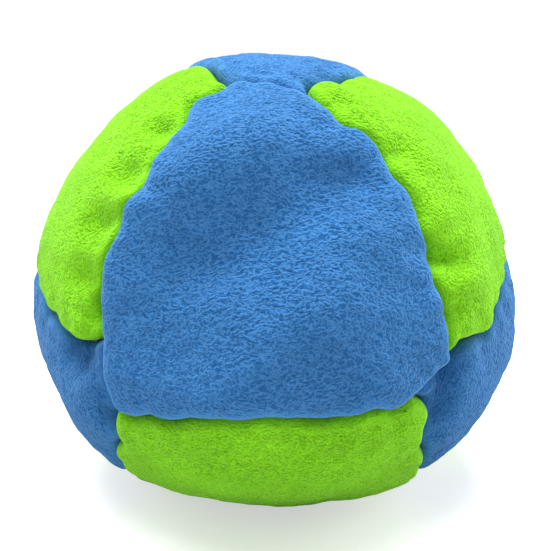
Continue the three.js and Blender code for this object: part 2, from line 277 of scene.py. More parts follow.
@dataclass
class Panel:
    """One panel's place in the layout: its corners run anticlockwise, as seen from outside.

    The sink is how deep the suede is drawn in along the seams. The hollows are the panel's own, and deepen it.
    """

    shape: Shape
    place: str
    corners: list[str]
    middle: np.ndarray
    sink: float
    hollows: tuple[Swell, ...] = ()

    @property
    def name(self) -> str:
        """The name of the panel's node in the frame."""
        return f"{self.shape.value}_panel_{self.place}"


@dataclass
class Seam:
    """One seam between two panels, drawn as a swaying line from corner to corner."""

    start: str
    first: np.ndarray
    last: np.ndarray
    sway: tuple[float, ...]
    stitches: np.ndarray
    pulls: np.ndarray
    radius: float
    pull_width: float

    @property
    def angle(self) -> float:
        """The angle between the seam's two corners, in radians."""
        return math.acos(float(self.first @ self.last))

    @property
    def across(self) -> np.ndarray:
        """The direction square to the straight line between the corners."""
        return unit(np.cross(self.first, self.last))

    def directions(self, share: np.ndarray) -> np.ndarray:
        """Follows the seam.

        Args:
            share: places along the seam, from 0 at its start to 1 at its end.

        Returns:
            One direction in each row.
        """
        ahead = np.sin(share * self.angle)[:, None] * self.last
        behind = np.sin((1 - share) * self.angle)[:, None] * self.first
        straight = unit(ahead + behind)
        swing = (self.offsets(share) / self.radius)[:, None]
        return straight * np.cos(swing) + self.across * np.sin(swing)

    def offsets(self, share: np.ndarray) -> np.ndarray:
        """Reads the sway table as a smooth curve, in millimetres across the seam.

        Args:
            share: places along the seam.

        Returns:
            How far the seam lies to the side of the straight line, at each place.
        """
        knots = np.array((0.0, *self.sway, 0.0))
        place = np.clip(share, 0, 1) * (len(knots) - 1)
        index = np.clip(place.astype(int), 0, len(knots) - 2)
        part = place - index
        padded = np.concatenate(([-knots[1]], knots, [-knots[-2]]))
        before, here, there, after = (padded[index + step] for step in range(4))
        slope_here, slope_there = (there - before) / 2, (after - here) / 2
        square, cube = part**2, part**3
        return (
            here * (2 * cube - 3 * square + 1)
            + slope_here * (cube - 2 * square + part)
            + there * (3 * square - 2 * cube)
            + slope_there * (cube - square)
        )

    def notch(self, share: np.ndarray, reach: float) -> np.ndarray:
        """Returns how far the seam juts to its left, against its course a reach before and behind, in millimetres."""
        step = reach / (self.angle * self.radius)
        return self.offsets(share) - (self.offsets(share + step) + self.offsets(share - step)) / 2

    def foot(self, directions: np.ndarray) -> tuple[np.ndarray, np.ndarray]:
        """Finds the place on the straight line between the corners that is nearest to each direction.

        Args:
            directions: one direction in each row.

        Returns:
            The share along the line, and the distance to the side of it in millimetres.
        """
        ahead = np.cross(self.across, self.first)
        share = np.arctan2(directions @ ahead, directions @ self.first) / self.angle
        return np.clip(share, 0, 1), np.arcsin(np.clip(directions @ self.across, -1, 1)) * self.radius

    def pull(self, share: np.ndarray) -> np.ndarray:
        """Returns how hard the stitches pull at places along the seam: near 1 at a tight stitch, 0 between them."""
        gaps = (share[:, None] - self.stitches) * self.angle * self.radius / self.pull_width
        return np.max(self.pulls * np.exp(-(gaps**2)), axis=1)


@dataclass
class SewnLayout:
    """The layout of the skin: twenty-four corners, fourteen panels and thirty-six seams.

    A corner is named after its sector, a sixth of the bag: crown or base for those near a pole, or ring. Even sectors
    have a hexagon above and a square below, and odd ones a square above and a hexagon below.
    """

    outline: BagOutline
    crown_elevation: float = 54.2
    base_elevation: float = -51.0
    ring_elevation: float = 5.2
    ring_spread: float = 33.7
    pole_spread: float = 10.9
    sector_width: float = 60.0
    stitch_length: float = 3.3
    stitch_jitter: float = 0.18
    pull_width: float = 0.95
    least_pull: float = 0.55
    sway_length: float = 3.1
    usual_sink: float = 0.6
    square_sink: float = 0.8
    usual_bow: float = 0.36
    usual_sway: float = 0.38
    seed: int = 14
    corners: dict[str, np.ndarray] = field(default_factory=dict)
    panels: list[Panel] = field(default_factory=list)
    seams: dict[frozenset[str], Seam] = field(default_factory=dict)

    # How deep the suede is drawn in along its seams, where that isn't the usual depth
    HEXAGON_SINKS = {"front": 0.2, "top": 0.65, "front_left": 0.95, "front_right": 1.0, "back_left": 0.3, "back": 0.8}
    SQUARE_SINKS = {"front": 0.55, "front_left": 0.85}
    # Hollows that end at the panel's seams. The front's is a rise: its lower edge stands out over the square
    HEXAGON_HOLLOWS = {
        "front": (Swell(1.0, -4.5, -0.7, 4.2, 5.5),),
        "front_right": (Swell(38.0, -2.0, 1.3, 4.5), Swell(38.5, -12.0, 1.2, 4.0, 2.0, 90.0)),
        "front_left": (Swell(-44.0, -2.0, 1.3, 4.5, 1.3), Swell(-38.0, -13.0, 0.8, 3.5, 2.0, 90.0)),
        "top": (Swell(32.0, 65.5, 0.9, 3.5, 1.6), Swell(-27.0, 65.5, 0.6, 3.0, 1.4)),
    }
    PLACES = ("front", "front_right", "back_right", "back", "back_left", "front_left")
    # How far the hand-sewn corners stray from the even layout, to the right and upwards, in degrees. Each row is a
    # sector's: the left and right corner towards its pole, then the high and low corner on the ring
    STRAYS = (
        ((-7.8, 9.3), (3.5, 2.7), (4.6, -7.0), (2.4, -2.1)),
        ((10.0, 1.5), (-1.0, 0.8), (-2.2, 12.0), (1.0, 1.5)),
        ((7.8, 2.6), (-2.0, 1.5), (1.2, -1.0), (-1.0, 0.6)),
        ((-1.4, 1.0), (1.1, -0.6), (-0.8, 1.4), (1.6, -0.8)),
        ((2.5, 1.0), (-3.0, -0.5), (1.2, 7.7), (-1.4, -1.2)),
        ((0.8, 0.7), (-9.4, 1.7), (-2.7, -1.6), (-8.2, -6.1)),
    )
    # The seams that the photograph shows: how far they lie beside the straight line, in millimetres, at even steps
    SWAYS = {
        ("crown_0_left", "ring_5_high"): (-0.3, -1.3, -0.4, -0.2, -0.3, 0.0, -0.9, -0.8, -1.4, -1.5, -1.8),
        ("crown_0_right", "ring_0_high"): (0.1, 0.2, 1.6, 2.0, 1.7, 2.0, 1.8, 1.3, 1.4, 0.4, 0.5, 0.6, 0.1),
        ("ring_5_low", "ring_0_low"): (-0.4, 0.2, 0.3, 0.9, 1.0, 1.0, 1.2, 0.6, 0.1, 0.0, 0.2, -0.6),
        ("ring_5_high", "ring_4_high"): (1.6, 2.4, 2.4, 1.8, 2.1, 1.6, 1.1, 0.3, -0.1, 0.1),
        ("ring_0_high", "ring_1_high"): (0.4, -0.4, -1.4, -1.1, -0.7, -0.6, -0.3, -0.1, 0.0, 0.1),
        ("crown_0_left", "crown_0_right"): (0.2, 0.3, 0.3, 0.3, 0.2),
        ("crown_0_left", "crown_4_right"): (-0.1, -0.9, -1.7, -1.8, -1.2, -0.8, -0.9, -0.5, 0.1),
        ("crown_0_right", "crown_2_left"): (1.7, 0.5, 0.5, 0.4, 0.1, -0.3, -0.3, -0.5, -0.3),
        ("ring_5_low", "base_5_right"): (-0.1, 0.7, -0.3, -0.2, 0.2, 0.2, -0.1, 0.1),
        ("ring_0_low", "base_1_left"): (1.4, 0.7, 0.2, 0.6, 0.3, 0.1, 0.3, 0.2),
    }

    def __post_init__(self) -> None:
        """Lays out the corners, then the panels, then the seams."""
        for sector in range(len(self.PLACES)):
            self.add_sector_corners(sector)
        self.add_panel(Shape.HEXAGON, "top", [f"crown_{s}_{side}" for s in (0, 2, 4) for side in ("left", "right")])
        self.add_panel(Shape.HEXAGON, "bottom", [f"base_{s}_{side}" for s in (5, 3, 1) for side in ("right", "left")])
        for sector in range(len(self.PLACES)):
            self.add_sector_panels(sector)
        draws = np.random.default_rng(self.seed)
        for panel in self.panels:
            for start, end in zip(panel.corners, panel.corners[1:] + panel.corners[:1]):
                if frozenset((start, end)) not in self.seams:
                    self.seams[frozenset((start, end))] = self.sewn(start, end, draws)

    def add_sector_corners(self, sector: int) -> None:
        """Places the four corners of a sixth of the bag.

        Args:
            sector: which sixth, counted to the right from the front.
        """
        upper = sector % 2 == 0
        pole, elevation = ("crown", self.crown_elevation) if upper else ("base", self.base_elevation)
        near = self.sector_width - self.ring_spread
        high, low = (self.ring_spread, near) if upper else (near, self.ring_spread)
        corners = (
            (f"{pole}_{sector}_left", -self.pole_spread, elevation),
            (f"{pole}_{sector}_right", self.pole_spread, elevation),
            (f"ring_{sector}_high", high, self.ring_elevation),
            (f"ring_{sector}_low", low, -self.ring_elevation),
        )
        for (name, turn, rise), (aside, above) in zip(corners, self.STRAYS[sector]):
            self.corners[name] = direction(sector * self.sector_width + turn + aside, rise + above)

    def add_panel(self, shape: Shape, place: str, corners: list[str]) -> None:
        """Adds a panel between corners that are already placed.

        Args:
            shape: whether it is a hexagon or a square.
            place: where on the bag it lies.
            corners: its corners, anticlockwise as seen from outside.
        """
        middle = unit(sum(self.corners[corner] for corner in corners))
        hexagon = shape is Shape.HEXAGON
        usual = self.usual_sink if hexagon else self.square_sink
        sink = (self.HEXAGON_SINKS if hexagon else self.SQUARE_SINKS).get(place, usual)
        hollows = self.HEXAGON_HOLLOWS.get(place, ()) if hexagon else ()
        self.panels.append(Panel(shape, place, corners, middle, sink, hollows))

    def add_sector_panels(self, sector: int) -> None:
        """Adds the hexagon and the square of a sixth of the bag.

        Args:
            sector: which sixth, counted to the right from the front.
        """
        left, right = (sector - 1) % len(self.PLACES), (sector + 1) % len(self.PLACES)
        upper = sector % 2 == 0
        pole, other_pole = ("crown", "base") if upper else ("base", "crown")
        near, far = ("high", "low") if upper else ("low", "high")
        hexagon = [
            f"{pole}_{sector}_right",
            f"{pole}_{sector}_left",
            f"ring_{left}_{near}",
            f"ring_{left}_{far}",
            f"ring_{sector}_{far}",
            f"ring_{sector}_{near}",
        ]
        square = [
            f"ring_{sector}_{far}",
            f"ring_{left}_{far}",
            f"{other_pole}_{left}_right",
            f"{other_pole}_{right}_left",
        ]
        if not upper:
            hexagon.reverse()
            square.reverse()
        self.add_panel(Shape.HEXAGON, self.PLACES[sector], hexagon)
        self.add_panel(Shape.SQUARE, self.PLACES[sector], square)

    def sewn(self, start: str, end: str, draws: np.random.Generator) -> Seam:
        """Sews one seam.

        Args:
            start: the corner that the seam starts from.
            end: the corner that it runs to.
            draws: the source of the small differences between stitches.

        Returns:
            The seam, with its listed sway where one is given.
        """
        if (end, start) in self.SWAYS:
            start, end = end, start
        first, last = self.corners[start], self.corners[end]
        radius = self.outline.width / 2
        length = math.acos(float(first @ last)) * radius
        count = max(2, round(length / self.stitch_length))
        stitches = (np.arange(count) + 0.5 + draws.uniform(-1, 1, count) * self.stitch_jitter) / count
        pulls = draws.uniform(self.least_pull, 1.0, count)
        square = [p for p in self.panels if p.shape is Shape.SQUARE and start in p.corners and end in p.corners]
        side = np.sign(square[0].middle @ np.cross(first, last)) if square else 0.0
        bow = side * self.usual_bow
        knots = max(2, round(length / self.sway_length)) - 1
        places = (np.arange(knots) + 1) / (knots + 1)
        sway = tuple(bow * np.sin(np.pi * places) + draws.normal(0, self.usual_sway, knots))
        sway = self.SWAYS.get((start, end), sway)
        return Seam(start, first, last, sway, stitches, pulls, radius, self.pull_width)


@dataclass
class Relief:
    """The unevenness of the suede: soft lumps of sand behind it, and the matted clumps of its nap."""

    lump_length: float = 5.0
    lump_height: float = 0.26
    lump_softness: float = 1.0
    lump_step: float = 2.0
    lump_layers: int = 3
    clump_length: float = 0.75
    clump_height: float = 0.04

    def lumps(self, points: np.ndarray) -> np.ndarray:
        """Works out the height of the lumps at points, in millimetres."""
        kind = (self.lump_softness, self.lump_step, self.lump_layers)
        return self.lump_height * np.array([noise.fractal(Vector(p), *kind) for p in points / self.lump_length])

    def nap(self, points: np.ndarray) -> np.ndarray:
        """Works out the height of the nap at points, in millimetres."""
        return self.clump_height * np.array([noise.noise(Vector(p)) for p in points / self.clump_length])


@dataclass
class SuedePanel:
    """One panel of suede, drawn in along its seams, with its edge turned inwards."""

    panel: Panel
    layout: SewnLayout
    relief: Relief
    thickness: float = 0.8
    seam_gap: float = 0.06
    roll_width: float = 1.25
    roll_depth: float = 1.35
    sink_reach: float = 3.6
    sink_power: float = 1.3
    pull_depth: float = 0.25
    pull_narrowing: float = 0.25
    puff_height: float = 0.22
    puff_reach: float = 2.0
    pucker_depth: float = 0.2
    pucker_reach: float = 2.0
    notch_depth: float = 0.3
    notch_reach: float = 1.5
    corner_softness: float = 0.3
    least_slant: float = 0.45
    far_nearness: float = 1e-12
    allowance: float = 2.6
    roll_share: float = 0.12
    outer_cuts: int = 79
    inner_cuts: int = 15
    turned_rings: int = 2
    ring_growth: float = 0.1
    cut_steps: int = 24
    least_tilt: float = 1e-6

    # How far from a corner a point of the blank still counts as that corner, as a share of a side
    CORNER_SLACK = 0.1
    # How far each panel's nap is turned from level, in degrees
    CUT_TURNS = {
        "top": 20.0, "front": 4.0, "front_right": -70.0, "back_right": 35.0,
        "bottom": 55.0, "back": -15.0, "back_left": 80.0, "front_left": 65.0,
    }

    def blank(self, cuts: int) -> bpy.types.Mesh:
        """Cuts the flat blank that a side of the panel is formed from.

        Args:
            cuts: how often each half side is cut.

        Returns:
            A flat mesh within a circle of radius 1, with the rings of the turned edge round it.
        """
        bm = bmesh.new()
        sides = len(self.panel.corners)
        bmesh.ops.create_circle(bm, cap_ends=True, cap_tris=True, segments=2 * sides, radius=1.0)
        bm.verts.ensure_lookup_table()
        middle = min(bm.verts, key=lambda v: v.co.length)
        spokes = [e for e in middle.link_edges if self.is_corner(e.other_vert(middle).co)]
        bmesh.ops.dissolve_edges(bm, edges=spokes)
        bmesh.ops.subdivide_edges(bm, edges=bm.edges[:], cuts=cuts, use_grid_fill=True)
        for ring in range(self.turned_rings):
            rim = [e for e in bm.edges if e.is_boundary]
            grown = bmesh.ops.extrude_edge_only(bm, edges=rim)["geom"]
            verts = [v for v in grown if isinstance(v, bmesh.types.BMVert)]
            growth = (1 + self.ring_growth * (ring + 1)) / (1 + self.ring_growth * ring)
            bmesh.ops.scale(bm, vec=(growth, growth, 1.0), verts=verts)
        return meshed(bm, self.panel.name)

    def is_corner(self, place: Vector) -> bool:
        """Tells the blank's corners from the middles of its sides."""
        turns = math.atan2(-place.x, place.y) / math.tau * len(self.panel.corners)
        return abs(turns - round(turns)) < self.CORNER_SLACK

    def stations(self, flat: np.ndarray) -> tuple[np.ndarray, np.ndarray, np.ndarray]:
        """Reads where each point of the flat blank belongs on the panel.

        Args:
            flat: the blank's points, one in each row.

        Returns:
            Which side each point lies behind, its share along that side, and its share of the way
            from the panel's middle to its edge, past 1 in the turned edge.
        """
        sides = len(self.panel.corners)
        half_turn = math.pi / sides
        turn = np.mod(np.arctan2(-flat[:, 0], flat[:, 1]), math.tau)
        half = np.clip((turn / half_turn).astype(int), 0, 2 * sides - 1)
        lean = turn - (half + 0.5) * half_turn
        rim = math.cos(half_turn / 2) / np.cos(lean)
        along = 0.5 + 0.5 * np.tan(lean) / math.tan(half_turn / 2)
        share = (half % 2 + np.clip(along, 0, 1)) / 2
        return half // 2, share, np.hypot(flat[:, 0], flat[:, 1]) / rim

    def sides(self) -> list[Seam]:
        """Lists the panel's seams in the order of its corners."""
        corners = self.panel.corners
        return [self.layout.seams[frozenset(ends)] for ends in zip(corners, corners[1:] + corners[:1])]

    def rays(self, side: np.ndarray, share: np.ndarray) -> tuple[np.ndarray, np.ndarray, np.ndarray]:
        """Finds where a ray from the panel's middle meets the seam.

        Args:
            side: which side of the panel each ray meets.
            share: its share along that side, anticlockwise.

        Returns:
            The direction of the meeting point, the sine of the angle between ray and seam, and the stitches' pull.
        """
        seam = np.zeros((len(share), 3))
        slant, pull = np.ones(len(share)), np.zeros(len(share))
        for index, (start, line) in enumerate(zip(self.panel.corners, self.sides())):
            here = side == index
            along = share[here] if line.start == start else 1 - share[here]
            seam[here] = line.directions(along)
            pull[here] = line.pull(along)
            ray = unit(self.panel.middle - seam[here] * (seam[here] @ self.panel.middle)[:, None])
            slant[here] = np.clip(np.abs(ray @ line.across), self.least_slant, 1)
        return seam, slant, pull

    def edge_distance(self, directions: np.ndarray) -> tuple[np.ndarray, np.ndarray, np.ndarray]:
        """Measures how far points lie from the nearest seam, and how it is drawn in there.

        Args:
            directions: one direction in each row.

        Returns:
            The distance in millimetres, rounded off where two seams are near, the stitches' pull, and how far the
            seam cuts into the panel.
        """
        gaps, pulls, notches = [], [], []
        for line in self.sides():
            facing = np.sign(self.panel.middle @ line.across)
            share, aside = line.foot(directions)
            gaps.append(np.maximum(facing * (aside - line.offsets(share)), 0))
            pulls.append(line.pull(share))
            notches.append(facing * line.notch(share, self.notch_reach))
        nearness = np.exp(-np.array(gaps) / self.corner_softness)
        total = np.maximum(np.sum(nearness, axis=0), self.far_nearness)
        distance = np.maximum(-self.corner_softness * np.log(total), 0)
        pull = np.sum(nearness * pulls, axis=0) / total
        notch = np.sum(nearness * notches, axis=0) / total
        return distance, pull, notch

    def formed(self, flat: np.ndarray, inside: bool) -> tuple[np.ndarray, np.ndarray, np.ndarray]:
        """Forms one side of the suede.

        Args:
            flat: the blank's points, one in each row.
            inside: whether this is the side towards the sand.

        Returns:
            The formed points, how far each lies from the nearest seam, and how deep it lies, in millimetres.
        """
        side, share, reach = self.stations(flat)
        seam, slant, pull = self.rays(side, share)
        middle = self.panel.middle
        skin = self.thickness if inside else 0.0
        start = (self.seam_gap / 2 + skin) / slant
        width = (self.roll_width * (1 - self.pull_narrowing * pull) - skin) / slant
        inward = np.clip(1 - reach, 0, 1)
        turned = np.clip(inward / self.roll_share, 0, 1) * math.pi / 2
        beyond = np.clip((inward - self.roll_share) / (1 - self.roll_share), 0, 1)
        angle = np.arccos(np.clip(seam @ middle, -1, 1))
        span = angle * self.layout.outline.width / 2
        inset = start + width * (1 - np.cos(turned)) + (span - start - width) * beyond
        part = (inset / span * angle)[:, None]
        directions = unit(np.sin(angle[:, None] - part) * seam + np.sin(part) * middle)
        below, distance = self.depths(directions, skin)
        ring = np.round((reach - 1) / self.ring_growth)
        below += np.where(ring > 0, ring * self.allowance / self.turned_rings, 0)
        return self.layout.outline.points(directions, below, skin), distance, below

    def depths(self, directions: np.ndarray, skin: float) -> tuple[np.ndarray, np.ndarray]:
        """Works out how deep the suede lies below the bag's outline.

        Args:
            directions: one direction in each row.
            skin: how far the formed side lies inside the outer side.

        Returns:
            The depth and the distance from the nearest seam at each point, in millimetres.
        """
        distance, pull, notch = self.edge_distance(directions)
        width = self.roll_width * (1 - self.pull_narrowing * pull) - skin
        climb = 1 - np.clip((distance - self.seam_gap / 2 - skin) / width, 0, 1)
        rolled = 1 - np.sqrt(1 - climb**2)
        rise = 1 - rolled
        below = skin + (self.roll_depth + self.pull_depth * pull - skin) * rolled
        below += self.panel.sink * np.exp(-((distance / self.sink_reach) ** self.sink_power))
        fading = np.exp(-distance / self.pucker_reach) * rise
        below += (self.pucker_depth * pull**2 + self.notch_depth * np.clip(notch, -1, 1)) * fading
        below -= self.puff_height * (1 - pull) * np.exp(-((distance - self.roll_width) / self.puff_reach) ** 2) * rise
        below += sum(hollow.heights(directions) for hollow in self.panel.hollows)
        places = self.layout.outline.points(directions, below)
        below -= self.relief.lumps(places) * rise
        if not skin:
            below -= self.relief.nap(places) * rise
        return below, distance

    def build(self) -> bpy.types.Object:
        """Forms both sides of the suede and closes them along the raw edge.

        Returns:
            The panel as one closed object, with the distance from the seam, the depth and the grain as attributes.
        """
        bm = bmesh.new()
        places, rims, dips = [], [], []
        for inside, cuts in ((False, self.outer_cuts), (True, self.inner_cuts)):
            mesh = self.blank(cuts)
            points, rim, dip = self.formed(vertices(mesh), inside)
            move(mesh, points)
            places.append(points)
            rims.append(rim)
            dips.append(dip)
            bm.from_mesh(mesh)
            bpy.data.meshes.remove(mesh)
        bmesh.ops.bridge_loops(bm, edges=[e for e in bm.edges if e.is_boundary])
        bmesh.ops.recalc_face_normals(bm, faces=bm.faces[:])
        mesh = meshed(bm, self.panel.name + "_suede")
        mesh.shade_smooth()
        for name, values in (("rim", rims), ("dip", dips)):
            mesh.attributes.new(name, "FLOAT", "POINT").data.foreach_set("value", np.concatenate(values))
        grain = mesh.attributes.new("grain", "FLOAT_VECTOR", "POINT")
        grain.data.foreach_set("vector", (np.concatenate(places) @ self.grain_axes()).ravel())
        return link(mesh)

    def cut(self) -> tuple[float, float, float]:
        """Develops the panel flat about its middle, with the seam allowance round it.

        Returns:
            The size of the flat cut along its nap and across it, in millimetres, and its area in square millimetres.
        """
        sides = len(self.panel.corners)
        side = np.repeat(np.arange(sides), self.cut_steps)
        share = np.tile(np.arange(self.cut_steps) / self.cut_steps, sides)
        seam, outline = self.rays(side, share)[0], self.layout.outline
        steps = [unit((1 - part) * self.panel.middle + part * seam) for part in np.linspace(0, 1, self.cut_steps)]
        places = np.array([outline.points(step, np.zeros(len(step))) for step in steps])
        reach = np.linalg.norm(np.diff(places, axis=0), axis=2).sum(axis=0) + self.allowance
        along, across, _ = (seam @ self.grain_axes()).T
        heading = np.arctan2(across, along)
        x, y = reach * np.cos(heading), reach * np.sin(heading)
        area = abs(np.sum(x * np.roll(y, -1) - y * np.roll(x, -1))) / 2
        return float(np.ptp(x)), float(np.ptp(y)), float(area)

    def grain_axes(self) -> np.ndarray:
        """Turns the bag's axes to the way the panel was cut.

        Returns:
            The axes along the nap, across it and outwards, one in each column.
        """
        # The least tilt gives a level axis even to a panel that faces straight up
        level = unit(np.cross([0.0, 0.0, 1.0], self.panel.middle) + [self.least_tilt, 0.0, 0.0])
        upward = np.cross(self.panel.middle, level)
        turn = math.radians(self.CUT_TURNS[self.panel.place])
        along = math.cos(turn) * level + math.sin(turn) * upward
        return np.array([along, np.cross(self.panel.middle, along), self.panel.middle]).T


@dataclass
class Sand:
    """The filling: it fills the skin behind each panel, and stays clear of the seam allowances and the thread."""

    skin: list[SuedePanel]
    clearance: float = 0.15
    groove_depth: float = 4.8
    groove_width: float = 1.7
    groove_flank: float = 1.2
    subdivisions: int = 7

    def build(self) -> bpy.types.Object:
        """Forms the sand from a sphere.

        Returns:
            The sand as one closed object.
        """
        bm = bmesh.new()
        bmesh.ops.create_icosphere(bm, subdivisions=self.subdivisions, radius=1.0)
        mesh = meshed(bm, "packed_sand")
        move(mesh, self.formed(unit(vertices(mesh))))
        mesh.shade_smooth()
        return link(mesh)

    def formed(self, directions: np.ndarray) -> np.ndarray:
        """Places the sand's surface behind the suede.

        Args:
            directions: one direction in each row.

        Returns:
            One point in each row, in millimetres.
        """
        deepest = np.zeros(len(directions))
        widest = np.full(len(directions), -1.0)
        thickness = self.skin[0].thickness
        for suede in self.skin:
            distance = suede.edge_distance(directions)[0]
            below = suede.depths(directions, thickness)[0]
            nearer = (distance > widest) & (directions @ suede.panel.middle > 0)
            deepest[nearer] = below[nearer]
            widest[nearer] = distance[nearer]
        groove = 1 - np.clip((widest - self.groove_width) / self.groove_flank, 0, 1)
        groove = groove * groove * (3 - 2 * groove)
        below = np.maximum(deepest + self.clearance, self.groove_depth * groove)
        return self.skin[0].layout.outline.points(directions, below, thickness + self.clearance)


class NodeTree:
    """A short way to write a material's nodes."""

    # The mix node has sockets of one name for each kind of value, so those for colours go by number
    MIX_INPUTS = (6, 7)
    MIX_OUTPUT = 2

    def __init__(self, name: str) -> None:
        """Starts a material with nothing but its output and its shader.

        Args:
            name: the material's name.
        """
        self.material = bpy.data.materials.new(name)
        self.material.use_nodes = True
        self.tree = self.material.node_tree
        self.shader = self.tree.nodes["Principled BSDF"]

    def node(self, kind: str, settings: dict | None = None, **inputs: object) -> bpy.types.Node:
        """Adds a node.

        Args:
            kind: the node's type, without its ShaderNode prefix.
            settings: properties of the node.
            inputs: a value for an input, or the socket that feeds it; an underscore stands for a space.

        Returns:
            The new node.
        """
        made = self.tree.nodes.new("ShaderNode" + kind)
        for key, value in (settings or {}).items():
            setattr(made, key, value)
        for key, value in inputs.items():
            self.feed(made.inputs[key.replace("_", " ")], value)
        return made

    def feed(self, socket: bpy.types.NodeSocket, value: object) -> None:
        """Sets a socket, or links it to the socket that feeds it.

        Args:
            socket: the socket to set or to feed.
            value: its value, or the socket that feeds it.
        """
        if isinstance(value, bpy.types.NodeSocket):
            self.tree.links.new(value, socket)
        else:
            socket.default_value = value

    def shade(self, **inputs: object) -> None:
        """Sets the shader's inputs, or links them to their sockets; an underscore stands for a space."""
        for key, value in inputs.items():
            self.feed(self.shader.inputs[key.replace("_", " ")], value)

    def math(self, operation: str, *values: object) -> bpy.types.NodeSocket:
        """Adds a piece of arithmetic.

        Args:
            operation: what is done with the values.
            values: numbers, or the sockets that feed them.

        Returns:
            The socket of the outcome.
        """
        made = self.node("Math", {"operation": operation})
        for socket, value in zip(made.inputs, values):
            self.feed(socket, value)
        return made.outputs["Value"]

    def noise(
        self, place: bpy.types.NodeSocket, length: float, detail: float, roughness: float
    ) -> bpy.types.NodeSocket:
        """Adds a noise texture whose largest grains have a length, and returns the socket of its value, from 0 to 1."""
        return self.node("TexNoise", Vector=place, Scale=1 / length, Detail=detail, Roughness=roughness).outputs["Fac"]

    def ridge(self, value: bpy.types.NodeSocket, sharpness: float, power: float) -> bpy.types.NodeSocket:
        """Folds a noise at its middle value, so that this value becomes the crest of a thin ridge.

        Args:
            value: the noise, from 0 to 1.
            sharpness: how fast the ridge falls away from its crest.
            power: how hollow its flanks are.

        Returns:
            The ridge's height, from 0 to 1.
        """
        folded = self.math("ABSOLUTE", self.math("SUBTRACT", value, 0.5))
        crest = self.math("MAXIMUM", self.math("MULTIPLY_ADD", folded, -sharpness, 1.0), 0.0)
        return self.math("POWER", crest, power)

    def mixed(self, blend: str, factor: object, first: object, second: object) -> bpy.types.NodeSocket:
        """Mixes two colours.

        Args:
            blend: how they are mixed.
            factor: how much the second one counts.
            first: the first colour, or its socket.
            second: the second colour, or its socket.

        Returns:
            The socket of the mixture.
        """
        made = self.node("Mix", {"data_type": "RGBA", "blend_type": blend}, Factor=factor)
        for index, value in zip(self.MIX_INPUTS, (first, second)):
            self.feed(made.inputs[index], value)
        return made.outputs[self.MIX_OUTPUT]

    def spread(
        self, value: bpy.types.NodeSocket, low: float, high: float, start: float, end: float
    ) -> bpy.types.NodeSocket:
        """Maps values from low to high evenly onto start to end, and holds them there beyond."""
        made = self.node("MapRange", Value=value, From_Min=low, From_Max=high, To_Min=start, To_Max=end)
        return made.outputs["Result"]

    def ramp(self, factor: bpy.types.NodeSocket, stops: tuple[tuple[float, tuple], ...]) -> bpy.types.NodeSocket:
        """Adds a colour ramp.

        Args:
            factor: the socket that picks the place on the ramp.
            stops: places and their colours, from the lowest up.

        Returns:
            The colour socket.
        """
        made = self.node("ValToRGB", Fac=factor)
        elements = made.color_ramp.elements
        for element, (place, colour) in zip((elements[0], elements[1]), (stops[0], stops[-1])):
            element.position, element.color = place, (*colour, 1.0)
        for place, colour in stops[1:-1]:
            elements.new(place).color = (*colour, 1.0)
        return made.outputs["Color"]


